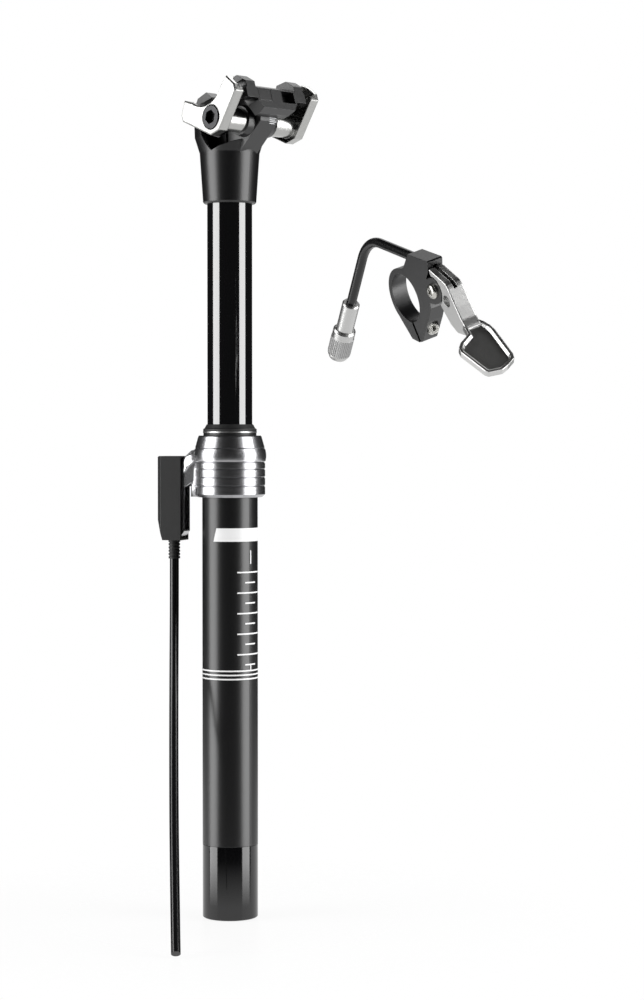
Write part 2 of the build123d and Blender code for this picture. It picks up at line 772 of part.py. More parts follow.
def barrel_solid():
    """Hubs on both sides of the web, drawn in towards their ends."""
    solid = turned([
        (0, -BARREL_HALF),
        (BOSS_R + 1.0, -BARREL_HALF),
        (BOSS_R + 1.8, -WEB_HALF),
        (BOSS_R + 1.8, WEB_HALF),
        (BOSS_R + 1.0, BARREL_HALF),
        (0, BARREL_HALF),
    ])
    return Pos(CLAMP_X, 0, CLAMP_Z) * Rot(90, 0, 0) * solid


# Saddle clamp: cradle, two chevron plates with bosses, bolt and nut

def chevron():
    """Outline of a clamp plate in the clamp frame, seen along its bolt."""
    with BuildSketch(Plane.XZ) as sketch:
        with BuildLine():
            Polyline(
                (-3.4, -7.8), (-JAW_HALF - 0.8, 5.6), (-JAW_HALF - 0.8, 9.0),
                (-15.4, 14.8), (-10.4, 11.6),
            )
            ThreePointArc((-10.4, 11.6), (0, RAIL_Z - RAIL_R - 0.3), (10.4, 11.6))
            Polyline(
                (10.4, 11.6), (15.4, 14.8), (JAW_HALF + 0.8, 9.0),
                (JAW_HALF + 0.8, 5.6), (3.4, -7.8), (-3.4, -7.8),
            )
        make_face()
    return sketch.sketch


def clamp_plate(side):
    """Clamp plate on the side of Y given by the sign, with its rail groove."""
    outline = chevron()
    face_y = side * (PLATE_IN + PLATE_THICK)
    body = Pos(0, side * PLATE_IN, 0) * extrude(outline, PLATE_THICK, dir=(0, side, 0))
    if side < 0:
        edges = body.faces().sort_by(Axis.Y)[0].edges()
    else:
        edges = body.faces().sort_by(Axis.Y)[-1].edges()
    body = chamfer(edges, 0.6)
    body += rod(BOSS_R, (0, side * (PLATE_IN + 1), 0), (0, side * (BARREL_HALF - BOSS_DEPTH), 0))
    body -= rod(RAIL_R, (-30, side * RAIL_Y, RAIL_Z), (30, side * RAIL_Y, RAIL_Z))
    body -= rod(BOLT_R + RUN, (0, -40, 0), (0, 40, 0))
    pocket = BOLT_HEAD_R + 0.15
    body -= rod(pocket, (0, face_y - side * (BOLT_HEAD - 0.6), 0), (0, face_y + side * 2, 0))
    return CLAMP * body


def near_clamp_plate():
    return clamp_plate(-1)


def far_clamp_plate():
    return clamp_plate(1)


def saddle_cradle():
    """Cradle on the barrel, with two ears beside each rail."""
    top = 13.2
    body = plate([
        (-JAW_HALF, 2.5), (-JAW_HALF, 9.0), (-12.0, top), (12.0, top), (JAW_HALF, 9.0),
        (JAW_HALF, -1.0), (JAW_HALF - 4.0, -2.0), (0, -2.0), (0, 2.5),
    ], Plane.XZ, -EAR_IN, EAR_IN)
    for side in (-1, 1):
        low, high = sorted((-side * EAR_IN, -side * EAR_OUT))
        for end in (-1, 1):
            body += plate([
                (end * 5.2, 9.0), (end * 9.0, 6.4), (end * JAW_HALF, 3.6), (end * JAW_HALF, 12.0),
                (end * 14.5, 16.2), (end * 8.0, 16.8), (end * 5.2, top),
            ], Plane.XZ, low, high)
        # the rear ear's lower corner is cut off, to clear the cup when the nose is tilted up
        low, high = sorted((-side * (EAR_IN + 0.1), -side * (EAR_OUT + 1)))
        body -= plate([
            (-JAW_HALF + 2.2, 3.0), (-JAW_HALF + 2.0, 4.2), (-JAW_HALF, 10.4), (-JAW_HALF - 1, 10.4),
            (-JAW_HALF - 1, 3.0),
        ], Plane.XZ, low, high)
        body -= rod(RAIL_R, (-30, side * RAIL_Y, RAIL_Z), (30, side * RAIL_Y, RAIL_Z))
        # lower corners cut off, and a pocket in the front beside each ear
        body -= plate([(side * 14.0, 4.0), (side * 14.0, -3.0), (side * 8.8, -3.0)], Plane.YZ, -30, 30)
        near, far = sorted((side * 3.5, side * (EAR_IN - 1.2)))
        body -= bar((JAW_HALF - 5.0, near, 2.6), (JAW_HALF + 1, far, 8.6))
    body -= rod(BARREL_R + REST / 3, (0, -30, 0), (0, 30, 0))
    return CLAMP * body


def clamp_bolt():
    head_face = -(PLATE_IN + PLATE_THICK) + (BOLT_HEAD - 0.6)
    end = PLATE_IN + PLATE_THICK - 0.4
    body = rod(BOLT_HEAD_R, (0, head_face - BOLT_HEAD, 0), (0, head_face, 0))
    rim = body.edges().filter_by(GeomType.CIRCLE).sort_by(Axis.Y)[0]
    body = fillet(rim, 0.6)
    body += rod(BOLT_R - RUN, (0, head_face, 0), (0, end, 0))
    face = Plane((0, head_face - BOLT_HEAD, 0), x_dir=(1, 0, 0), z_dir=(0, 1, 0))
    body -= extrude(face * RegularPolygon(3.46, 6), 3.2)
    return CLAMP * body


def clamp_nut():
    start = PLATE_IN + PLATE_THICK - (BOLT_HEAD - 0.6)
    body = rod(NUT_R, (0, start, 0), (0, start + 3.4, 0))
    body -= rod(BOLT_R + RUN, (0, start - 1, 0), (0, start + 5, 0))
    return CLAMP * body


# Remote: bar clamp with a cable block, lever, noodle and adjuster

def remote_plate(points, low, high):
    """Plate across the handlebar's axis: points are (down, toward the rider)."""
    return plate(points, Plane.XY, low, high)


def bar_clamp():
    outer = BAR_R + CLAMP_WALL
    half = CLAMP_HALF
    pivot = LEVER_PIVOT
    body = remote_plate([
        (-16.5, 17.2), (-10.0, 31.2), (-9.2, 31.6), (-5.4, 28.4), (-3.0, 24.0), (9.0, 18.6), (13.6, 11.5),
        (20.4, -0.4), (20.4, -3.0), (17.4, -8.6), (6.0, -12.3), (-9.0, 2.0), (-12.6, 9.4),
    ], -half, half)
    body += rod(outer, (0, 0, -half), (0, 0, half))
    body += rod(EAR_R, (pivot[0], pivot[1], -half), (pivot[0], pivot[1], half))
    body += remote_plate([(-4.5, 23), (5, 15), (8.2, 24), (0.5, 31)], -half, half)
    # slot between the ears for the lever's root
    inner = half - EAR_THICK
    body -= rod(EAR_R + 1.2, (pivot[0], pivot[1], -inner), (pivot[0], pivot[1], inner))
    body -= remote_plate([(-0.8, 24), (12, 20), (14, 34), (-3, 38)], -inner, inner)
    body -= rod(BAR_R, (0, 0, -half - 1), (0, 0, half + 1))
    # split below the bar, pinch bolt across it
    body -= bar((BAR_R - 1, -3.4, -half - 1), (PINCH_X + 8, -1.8, half + 1))
    body -= rod(PINCH_R + 0.1, (PINCH_X, -20, 0), (PINCH_X, 20, 0))
    body -= rod(2.7, (PINCH_X, 4.2, 0), (PINCH_X, 20, 0))
    body -= rod(2.7, (PINCH_X, -20, 0), (PINCH_X, -7.4, 0))
    # cable passage and noodle socket along the block
    start = NOODLE_START
    u, v = BLOCK_DIR
    depth = NOODLE_IN_BLOCK + REST
    outside = (start[0] - 12 * u, start[1] - 12 * v, 0)
    body -= rod(NOODLE_R + SEAT, outside, (start[0] + depth * u, start[1] + depth * v, 0))
    body -= rod(1.0, (start[0], start[1], 0), (start[0] + 30 * u, start[1] + 30 * v, 0))
    body -= rod(LEVER_PIVOT_R + SEAT, (pivot[0], pivot[1], -half - 1), (pivot[0], pivot[1], half + 1))
    return REMOTE * body


def pinch_bolt():
    body = rod(PINCH_R, (PINCH_X, -10.0, 0), (PINCH_X, 4.2, 0))
    body += rod(2.5, (PINCH_X, 4.2, 0), (PINCH_X, 6.8, 0))
    body -= rod(1.2, (PINCH_X, 5.6, 0), (PINCH_X, 8, 0))
    return REMOTE * body


def pinch_nut():
    body = rod(2.5, (PINCH_X, -9.6, 0), (PINCH_X, -7.5, 0))
    return REMOTE * (body - rod(PINCH_R + SEAT, (PINCH_X, -12, 0), (PINCH_X, 0, 0)))


def lever_screw():
    x, y = LEVER_PIVOT
    body = rod(LEVER_PIVOT_R, (x, y, -CLAMP_HALF - 0.6), (x, y, CLAMP_HALF))
    dome = rod(3.4, (x, y, CLAMP_HALF), (x, y, CLAMP_HALF + 2.1))
    top = dome.faces().sort_by(Axis.Z)[-1].edges()
    dome = fillet(top, 1.6)
    for angle in (20, 110):
        dome -= Pos(x, y, CLAMP_HALF + 1.6) * Rot(0, 0, angle) * Box(0.8, 3.4, 1.6)
    return REMOTE * (body + dome)


def thumb_lever():
    half = CLAMP_HALF
    pivot = LEVER_PIVOT
    arm = remote_plate([
        (-8.0, 32.6), (2.5, 46.8), (4.1, 48.4), (25.0, 47.2), (27.6, 46.0), (26.5, 42.0),
        (20.0, 39.1), (11.0, 33.2), (3.8, 31.7), (-4.0, 31.4),
    ], -LEVER_WIDE, half)
    # narrow at its root and wider towards the thumb pad
    arm -= plate([
        (-12, -half), (5, -half), (17, -half - 1.2), (26, -LEVER_WIDE + 0.6), (32, -LEVER_WIDE),
        (32, -15), (-12, -15),
    ], Plane((0, 0, 0), x_dir=(1, 0, 0), z_dir=(0, -1, 0)), -60, -20)
    inner = half - EAR_THICK - REST / 3
    arm -= rod(EAR_R + REST, (pivot[0], pivot[1], -half - 1), (pivot[0], pivot[1], half + 1))
    arm += rod(EAR_R - 0.9, (pivot[0], pivot[1], -inner), (pivot[0], pivot[1], inner))
    arm += remote_plate([(0.4, 29), (5.8, 28), (9.0, 34.6), (1.4, 35.0)], -inner, inner)
    body = arm + paddle()
    body -= rod(LEVER_PIVOT_R + RUN, (pivot[0], pivot[1], -half - 1), (pivot[0], pivot[1], half + 1))
    # hole for the cable's end and the slot that leads the cable out of it
    x, y = CABLE_EYE
    body -= rod(EYE_R, (x, y, -half - 1), (x, y, half + 1))
    body -= remote_plate([
        (-11, 31), (-5.5, 30.5), (x, y), (x, y + 3), (4, 45.5), (1, 49.5), (-11, 40),
    ], -SLOT_HALF, SLOT_HALF)
    return REMOTE * body


def paddle():
    """Dished thumb pad on a slanted plane at the end of the lever."""
    along = Vector(*PAD_DIR, 0)
    pad = Plane(Vector(*PAD_START, 0), x_dir=along, z_dir=(-PAD_DIR[1], PAD_DIR[0], 0))
    rim = [
        (-1.5, -3.8), (3.0, -7.5), (23.8, -7.5), (25.0, -5.5), (24.6, 1.3),
        (21.5, 5.1), (4.4, 9.9), (3.0, 8.9), (-1.5, 4.9),
    ]
    floor = [
        (0.6, -2.4), (3.6, -5.6), (22.6, -5.6), (23.4, -4.6), (23.1, 0.6),
        (20.8, 3.7), (4.8, 8.3), (0.6, 4.6),
    ]
    pad_solid = plate(rim, pad, -PAD_THICK, PAD_RIM)
    dish = plate(floor, pad, -PAD_DISH, PAD_RIM + 1)
    return pad_solid - dish


def noodle_route():
    x, y = NOODLE_START
    u, v = BLOCK_DIR
    corner = (x - NOODLE_REACH * u, y - NOODLE_REACH * v, 0.0)
    end = [c + NOODLE_LEG * d for c, d in zip(corner, LEG_DIR)]
    route = [(x + NOODLE_IN_BLOCK * u, y + NOODLE_IN_BLOCK * v, 0.0), corner, tuple(end)]
    return [(REMOTE * Pos(*point)).position for point in route]


def noodle_pipe():
    points = noodle_route()
    path = FilletPolyline(*points, radius=NOODLE_BEND)
    section = Plane(points[0], z_dir=points[1] - points[0])
    return sweep(section * Circle(NOODLE_R), path=path) - sweep(section * Circle(1.0), path=path)


def adjuster_frame():
    """Frame at the noodle's free end, Z along the way the cable leaves."""
    before, last = noodle_route()[-2:]
    return Plane(last, z_dir=last - before).location


def adjuster_sleeve():
    low = -FERRULE_OVER
    high = low + FERRULE_LENGTH
    thread_end = high + ADJUSTER_LENGTH - SOCKET_DEPTH - 1.0
    return adjuster_frame() * turned([
        (NOODLE_R + SEAT, low),
        (FERRULE_R - 0.5, low),
        (FERRULE_R, low + 0.6),
        (FERRULE_R, high),
        (THREAD_R, high),
        (THREAD_R, thread_end),
        (THREAD_R - 0.9, thread_end),
        (THREAD_R - 0.9, REST),
        (NOODLE_R + SEAT, REST),
    ])


def adjuster_barrel():
    low = FERRULE_LENGTH - FERRULE_OVER + FACE
    high = low + ADJUSTER_LENGTH
    socket = high - SOCKET_DEPTH
    return adjuster_frame() * turned([
        (THREAD_R + RUN, low),
        (ADJUSTER_R - 0.7, low),
        (ADJUSTER_R, low + 0.9),
        (ADJUSTER_R, high - 2.0),
        (ADJUSTER_R - 1.0, high),
        (SOCKET_R, high),
        (SOCKET_R, socket),
        (THREAD_R + RUN, socket),
    ])


PARTS = {
    "lower_tube": lower_tube,
    "base_cap": base_cap,
    "strut_bolt": strut_bolt,
    "strut_rod": strut_rod,
    "strut_piston": strut_piston,
    "topout_bumper": topout_bumper,
    "collar": collar,
    "upper_bushing": upper_bushing,
    "seal_carrier": seal_carrier,
    "seal_ring": seal_ring,
    "wiper_seal": wiper_seal,
    "actuator_lever": actuator_lever,
    "lever_pivot_pin": lever_pivot_pin,
    "push_pin": push_pin,
    "release_wire": release_wire,
    "return_spring": return_spring,
    "actuator_cover": actuator_cover,
    "cover_screws": cover_screws,
    "housing_ferrule": housing_ferrule,
    "strain_relief": strain_relief,
    "cable_housing": cable_housing,
    "stanchion_tube": stanchion_tube,
    "lower_bushing": lower_bushing,
    "guide_keys": guide_keys,
    "release_bar": release_bar,
    "strut_gland": strut_gland,
    "strut_cylinder": strut_cylinder,
    "strut_plug": strut_plug,
    "valve_pin": valve_pin,
    "head": head,
    "saddle_cradle": saddle_cradle,
    "near_clamp_plate": near_clamp_plate,
    "far_clamp_plate": far_clamp_plate,
    "clamp_bolt": clamp_bolt,
    "clamp_nut": clamp_nut,
    "bar_clamp": bar_clamp,
    "pinch_bolt": pinch_bolt,
    "pinch_nut": pinch_nut,
    "lever_screw": lever_screw,
    "thumb_lever": thumb_lever,
    "noodle_pipe": noodle_pipe,
    "adjuster_sleeve": adjuster_sleeve,
    "adjuster_barrel": adjuster_barrel,
}

os.makedirs("parts", exist_ok=True)
for name, make in PARTS.items():
    export_step(make(), f"parts/{name}.step")
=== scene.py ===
import math

import bmesh
import bpy
from mathutils import Matrix, Vector


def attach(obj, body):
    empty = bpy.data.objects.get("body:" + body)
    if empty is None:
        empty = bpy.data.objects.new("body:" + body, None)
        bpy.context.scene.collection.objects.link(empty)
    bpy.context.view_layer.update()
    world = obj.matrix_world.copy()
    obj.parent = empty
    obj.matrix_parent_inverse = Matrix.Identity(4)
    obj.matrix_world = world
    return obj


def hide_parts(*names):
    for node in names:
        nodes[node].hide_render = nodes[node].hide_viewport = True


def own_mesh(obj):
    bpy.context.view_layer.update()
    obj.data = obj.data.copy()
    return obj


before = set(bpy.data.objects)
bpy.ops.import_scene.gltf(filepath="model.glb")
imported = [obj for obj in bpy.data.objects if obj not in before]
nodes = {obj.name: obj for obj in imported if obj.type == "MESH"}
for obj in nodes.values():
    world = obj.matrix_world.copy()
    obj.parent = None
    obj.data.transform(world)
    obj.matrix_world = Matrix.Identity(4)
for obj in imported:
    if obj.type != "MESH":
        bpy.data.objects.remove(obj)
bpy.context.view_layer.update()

# Camera: a little above the middle of the post, half way round from its front
# to its near side, about 1.2 m away with a short telephoto lens.
RIGHT = Vector((math.sqrt(0.5), math.sqrt(0.5), 0.0))
TOWARD = Vector((math.sqrt(0.5), -math.sqrt(0.5), 0.0))
UP = Vector((0.0, 0.0, 1.0))
CAMERA_DISTANCE = 1.225
CAMERA_HEIGHT = 0.2387
CAMERA_SHIFT_RIGHT = 0.0451
CAMERA_PITCH = 1.58  # degrees down

camera_data = bpy.data.cameras.new("camera")
camera_data.lens = 90.0
camera_data.sensor_width = 36.0
camera_data.clip_start = 0.01
camera_data.clip_end = 50.0
camera = bpy.data.objects.new("camera", camera_data)
bpy.context.scene.collection.objects.link(camera)
camera.location = TOWARD * CAMERA_DISTANCE + RIGHT * CAMERA_SHIFT_RIGHT + UP * CAMERA_HEIGHT
look = -TOWARD * math.cos(math.radians(CAMERA_PITCH)) - UP * math.sin(math.radians(CAMERA_PITCH))
camera.rotation_mode = "QUATERNION"
camera.rotation_quaternion = look.to_track_quat("-Z", "Y")
bpy.context.scene.camera = camera
bpy.context.scene.view_settings.view_transform = "Standard"

# Surround: white to the camera and in reflections, and a plain soft light for
# everything else.
ROOM_LIGHT = 0.35


def linear(hex_colour):
    """An sRGB hex colour as linear RGBA."""
    parts = [int(hex_colour[i:i + 2], 16) / 255 for i in (1, 3, 5)]
    return (*[c / 12.92 if c <= 0.04045 else ((c + 0.055) / 1.055) ** 2.4 for c in parts], 1.0)


def add(material, kind, links=None, **settings):
    """Add a shader node, with its settings and the sockets that it takes from other nodes."""
    tree = material.node_tree
    node = tree.nodes.new(kind)
    for name, value in settings.items():
        if name.isdigit():
            node.inputs[int(name)].default_value = value
        elif name in node.inputs:
            node.inputs[name].default_value = value
        else:
            setattr(node, name, value)
    for name, source in (links or {}).items():
        tree.links.new(source, node.inputs[name])
    return node


def rays_that_see_background(material):
    """1 for camera, glossy and transmission rays, 0 for the rest."""
    path = add(material, "ShaderNodeLightPath")
    mirror = add(material, "ShaderNodeMath",
                 {0: path.outputs["Is Camera Ray"], 1: path.outputs["Is Glossy Ray"]},
                 operation="MAXIMUM")
    either = add(material, "ShaderNodeMath",
                 {0: mirror.outputs[0], 1: path.outputs["Is Transmission Ray"]},
                 operation="MAXIMUM")
    return either.outputs[0]


world = bpy.data.worlds.new("studio")
bpy.context.scene.world = world
world.use_nodes = True
world.node_tree.nodes.clear()
surround = add(world, "ShaderNodeBackground", Color=linear("#ffffff"), Strength=1.0)
room = add(world, "ShaderNodeBackground", Color=linear("#ffffff"), Strength=ROOM_LIGHT)
seen = add(world, "ShaderNodeMixShader",
           {0: rays_that_see_background(world), 1: room.outputs[0], 2: surround.outputs[0]})
add(world, "ShaderNodeOutputWorld", {"Surface": seen.outputs[0]})

# Floor: a pale round sheet that keeps the object's shadow and fades into the
# white surround well before its edge.
FLOOR_SIZE = 0.9
FLOOR_DROP = 0.0004  # below the post's foot, so that the two don't share a plane
FLOOR_WHITE = 0.88  # share that is plain white to the camera, the rest being the lit sheet
FADE_START, FADE_END = 0.05, 0.18


def mesh_object(name, mesh, material=None):
    """Put a finished bmesh into the scene as an object at the origin."""
    data = bpy.data.meshes.new(name)
    mesh.to_mesh(data)
    mesh.free()
    piece = bpy.data.objects.new(name, data)
    bpy.context.scene.collection.objects.link(piece)
    if material:
        data.materials.append(material)
    return piece


floor_paint = bpy.data.materials.new("studio_floor")
floor_paint.use_nodes = True
floor_paint.node_tree.nodes.clear()
floor_place = add(floor_paint, "ShaderNodeTexCoord")
floor_reach = add(floor_paint, "ShaderNodeVectorMath", {0: floor_place.outputs["Object"]},
                  operation="LENGTH")
floor_fade = add(floor_paint, "ShaderNodeMapRange", {"Value": floor_reach.outputs["Value"]},
                 **{"From Min": FADE_START, "From Max": FADE_END, "To Min": 1.0, "To Max": 0.0})
floor_matt = add(floor_paint, "ShaderNodeBsdfPrincipled",
                 **{"Base Color": linear("#f4f4f4"), "Roughness": 0.35})
floor_white = add(floor_paint, "ShaderNodeEmission", Color=linear("#ffffff"), Strength=1.0)
floor_clear = add(floor_paint, "ShaderNodeBsdfTransparent")
floor_share = add(floor_paint, "ShaderNodeMath", {0: rays_that_see_background(floor_paint)},
                  operation="MULTIPLY", **{"1": FLOOR_WHITE})
floor_mix = add(floor_paint, "ShaderNodeMixShader",
                {0: floor_share.outputs[0], 1: floor_matt.outputs[0], 2: floor_white.outputs[0]})
floor_seen = add(floor_paint, "ShaderNodeMixShader",
                 {0: floor_fade.outputs[0], 1: floor_clear.outputs[0], 2: floor_mix.outputs[0]})
add(floor_paint, "ShaderNodeOutputMaterial", {"Surface": floor_seen.outputs[0]})
floor_mesh = bmesh.new()
bmesh.ops.create_circle(floor_mesh, cap_ends=True, segments=64, radius=FLOOR_SIZE / 2)
floor = mesh_object("floor", floor_mesh, floor_paint)
floor.location = (0.0, 0.0, -FLOOR_DROP)

# Dark boards of a photographer's studio: one behind the camera, one round each
# side and one overhead. Only reflections see them, so black tubes look black.
BOARD_DISTANCE = 1.9
BOARD_HEIGHT = 2.6
BOARD_EDGE = 96  # azimuth at which the front board meets the side boards
BOARD_END = 170
FRONT_FOOT, SIDE_FOOT = -0.6, -0.2

board_paint = bpy.data.materials.new("studio_black_cloth")
board_paint.use_nodes = True
board_paint.node_tree.nodes.clear()
board_skin = add(board_paint, "ShaderNodeEmission", Color=linear("#242424"), Strength=1.0)
add(board_paint, "ShaderNodeOutputMaterial", {"Surface": board_skin.outputs[0]})


def hang(name, mesh):
    """Put a board up where only reflections see it."""
    piece = mesh_object(name, mesh, board_paint)
    piece.visible_camera = False
    piece.visible_diffuse = False
    piece.visible_shadow = False


def board(name, start, end, foot, steps=12):
    """Upright curved board between two azimuths from the camera's side, positive to its right."""
    mesh = bmesh.new()
    turn = math.radians(start)
    spot = (TOWARD * math.cos(turn) + RIGHT * math.sin(turn)) * BOARD_DISTANCE
    edge = mesh.edges.new([mesh.verts.new(spot + UP * height) for height in (BOARD_HEIGHT, foot)])
    bmesh.ops.spin(mesh, geom=[edge], cent=(0, 0, 0), axis=UP, angle=math.radians(end - start),
                   steps=steps)
    hang(name, mesh)


board("front_board", -BOARD_EDGE, BOARD_EDGE, FRONT_FOOT, 24)
board("left_board", -BOARD_END, -BOARD_EDGE, SIDE_FOOT)
board("right_board", BOARD_EDGE, BOARD_END, SIDE_FOOT)
ceiling_mesh = bmesh.new()
bmesh.ops.create_circle(ceiling_mesh, cap_ends=True, segments=48, radius=BOARD_DISTANCE)
bmesh.ops.translate(ceiling_mesh, verts=ceiling_mesh.verts[:], vec=UP * BOARD_HEIGHT)
hang("ceiling_board", ceiling_mesh)

# Lamps: two tall soft boxes whose strips run down the tubes, and a weak one
# above and behind the post for the tops of its pieces.
AIM_HEIGHT = 0.22
STRIP_HEIGHT, STRIP_DISTANCE = 0.32, 1.15
STRIP_WIDTH, STRIP_TALL = 0.82, 1.5
STRIP_WATTS = 20


def soft_box(name, azimuth, height, distance, width, tall, power):
    """Area lamp at an azimuth from the camera's side, positive to its right, facing the object."""
    data = bpy.data.lights.new(name, "AREA")
    data.shape = "RECTANGLE"
    data.size = width
    data.size_y = tall
    data.energy = power
    lamp = bpy.data.objects.new(name, data)
    bpy.context.scene.collection.objects.link(lamp)
    angle = math.radians(azimuth)
    lamp.location = (TOWARD * math.cos(angle) + RIGHT * math.sin(angle)) * distance + UP * height
    aim = Vector((0, 0, AIM_HEIGHT)) - lamp.location
    lamp.rotation_mode = "QUATERNION"
    lamp.rotation_quaternion = aim.to_track_quat("-Z", "Y")


soft_box("left_strip", -73, STRIP_HEIGHT, STRIP_DISTANCE, STRIP_WIDTH, STRIP_TALL, STRIP_WATTS)
soft_box("right_strip", 72, STRIP_HEIGHT, STRIP_DISTANCE, STRIP_WIDTH, STRIP_TALL, STRIP_WATTS)
soft_box("top_light", 150, height=1.3, distance=0.8, width=0.6, tall=0.6, power=3)

# Cable housing: glossy PVC extruded over wound steel wire, which gives a thin
# bright line along it. It leaves the bracket straight down and ends bare on
# the floor.
BRACKET_BOTTOM = 0.1864
HOUSING_R = 0.00225
CABLE_OUT = 0.02907  # how far from the post's axis it leaves the bracket
ARM_AZIMUTH = math.radians(208.0)
RELIEF_DEPTH = 0.00004
NOISE_LOW, NOISE_HIGH = 0.3, 0.7  # between which most of the noise lies
cable_route = [  # to the camera's right, toward it, and up
    (-0.0278, -0.0085, BRACKET_BOTTOM + 0.0009),
    (-0.0278, -0.0085, 0.158),
    (-0.0274, 0.0035, 0.122),
    (-0.0260, 0.0295, 0.082),
    (-0.0239, 0.0625, 0.040),
    (-0.0212, 0.0970, 0.0016),
]


def finish(name, colour, rough, grain, relief=0.0, edge=0.0, **settings):
    """Material with a fine grain in its roughness, and in its relief if it has any.

    The grain is in noise cells per metre and the roughness goes from low to high.
    The edge is the radius by which the shading rounds sharp corners.
    """
    material = bpy.data.materials.new(name)
    material.use_nodes = True
    material.node_tree.nodes.clear()
    place = add(material, "ShaderNodeTexCoord")
    noise = add(material, "ShaderNodeTexNoise", {"Vector": place.outputs["Object"]},
                Scale=grain, Detail=3.0)
    tone = add(material, "ShaderNodeMapRange", {"Value": noise.outputs["Fac"]},
               **{"From Min": NOISE_LOW, "From Max": NOISE_HIGH, "To Min": rough[0], "To Max": rough[1]})
    links = {"Roughness": tone.outputs[0]}
    if edge:
        rounding = add(material, "ShaderNodeBevel", samples=4, Radius=edge)
        links["Normal"] = rounding.outputs[0]
    if relief:
        below = {"Normal": links["Normal"]} if edge else {}
        links["Normal"] = add(material, "ShaderNodeBump", {"Height": noise.outputs["Fac"], **below},
                              Strength=relief, Distance=RELIEF_DEPTH).outputs[0]
    settings["Base Color"] = linear(colour)
    skin = add(material, "ShaderNodeBsdfPrincipled", links, **settings)
    add(material, "ShaderNodeOutputMaterial", {"Surface": skin.outputs[0]})
    return material


arm_out = Vector((math.cos(ARM_AZIMUTH), math.sin(ARM_AZIMUTH), 0.0))
cable_foot = arm_out * CABLE_OUT
cable_points = [RIGHT * right + TOWARD * toward + UP * height for right, toward, height in cable_route]
cable_shift = Vector((cable_foot.x - cable_points[0].x, cable_foot.y - cable_points[0].y, 0.0))
cable_points = [point + cable_shift for point in cable_points]
cable_curve = bpy.data.curves.new("cable", "CURVE")
cable_curve.dimensions = "3D"
cable_curve.bevel_depth = HOUSING_R
cable_curve.bevel_resolution = 8
cable_curve.use_fill_caps = True
cable_line = cable_curve.splines.new("NURBS")
cable_line.points.add(len(cable_points) - 1)
for spot, point in zip(cable_line.points, cable_points):
    spot.co = (*point, 1.0)
cable_line.order_u = 3
cable_line.use_endpoint_u = True
cable_line.resolution_u = 24
cable = bpy.data.objects.new("cable", cable_curve)
bpy.context.scene.collection.objects.link(cable)
housing_plastic = finish("black_extruded_pvc", "#0d0d0e", (0.16, 0.24), 1500, relief=0.03, IOR=1.53)
cable_curve.materials.append(housing_plastic)
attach(cable, "base")
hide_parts("cable_housing")


# Lower tube, head, cradle and bar clamp: aluminium, bead blasted and then
# anodised black, with a fine dull grain and soft wide highlights.
def dress(material, *names):
    """Give CAD nodes a material."""
    for name in names:
        nodes[name].data.materials.clear()
        nodes[name].data.materials.append(material)


satin_black = finish("satin_black_anodised_aluminium", "#080809", (0.29, 0.36), 3500, relief=0.02,
                     edge=0.0004, IOR=1.6)
dress(satin_black, "lower_tube", "head", "saddle_cradle", "bar_clamp")

# Insertion marks on the lower tube: white pad print, a few hundredths of a
# millimetre thick, with long and short ticks, three rings and a plain band.
SHANK_R = 0.0136
INK = 0.00003
LINE = 0.0007
RING_HEIGHTS = (0.118, 0.120, 0.122)
TICKS, TICK_FOOT, TICK_STEP = 10, 0.125, 0.005
LONG_TICK, SHORT_TICK = 33, 15  # half of each, in degrees round the tube
TICK_MIDDLE = 5  # azimuth, in degrees from +X
STEM = (3.2, 6.0)  # azimuths between which the two short upright lines lie
STEM_HEIGHTS = ((0.174, 0.1806), (0.122, 0.125))
BAND = (-79, 96, 0.185, 0.1915)  # two azimuths and two heights
BAND_LEAN = 7.0
FACE_SPAN = 3  # degrees round the tube for each face of ink


def printed(mesh, start, end, low, high, lean=0.0):
    """Patch of ink between two azimuths and two heights, the top of its start leaning by an angle."""
    patch = bmesh.ops.create_grid(mesh, x_segments=max(2, int(abs(end - start) / FACE_SPAN)),
                                  y_segments=max(1, int(lean * 2)), size=0.5)["verts"]
    reach = SHANK_R + INK
    for vert in patch:
        across, up = vert.co.x + 0.5, vert.co.y + 0.5
        angle = math.radians(start + lean * up * (1 - across) + (end - start) * across)
        vert.co = (reach * math.cos(angle), reach * math.sin(angle), low + (high - low) * up)


white_ink = finish("white_pad_print", "#e6e6e6", (0.35, 0.5), 5000, relief=0.05, IOR=1.5)
marks_mesh = bmesh.new()
for height in RING_HEIGHTS:
    printed(marks_mesh, -180, 180, height - LINE / 2, height + LINE / 2)
for step in range(TICKS):
    half = LONG_TICK if step % 2 else SHORT_TICK
    height = TICK_FOOT + TICK_STEP * step
    printed(marks_mesh, TICK_MIDDLE - half, TICK_MIDDLE + half, height - LINE / 2, height + LINE / 2)
for stem_heights in STEM_HEIGHTS:
    printed(marks_mesh, *STEM, *stem_heights)
printed(marks_mesh, *BAND, lean=BAND_LEAN)
marks = mesh_object("insertion_marks", marks_mesh, white_ink)
for face in marks.data.polygons:
    face.use_smooth = True
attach(marks, "base")

# Stanchion and base cap: aluminium, polished before it was anodised black, so
# they are close to black mirrors. The stanchion's IOR is above the oxide's 1.76,
# which gives its reflections the strength that they have in the photograph.
gloss_black = finish("gloss_black_anodised_aluminium", "#060607", (0.05, 0.09), 900, IOR=2.2)
dress(gloss_black, "stanchion_tube")
cap_black = finish("gloss_black_base_cap", "#050506", (0.07, 0.11), 900, edge=0.0003, IOR=1.6)
dress(cap_black, "base_cap")

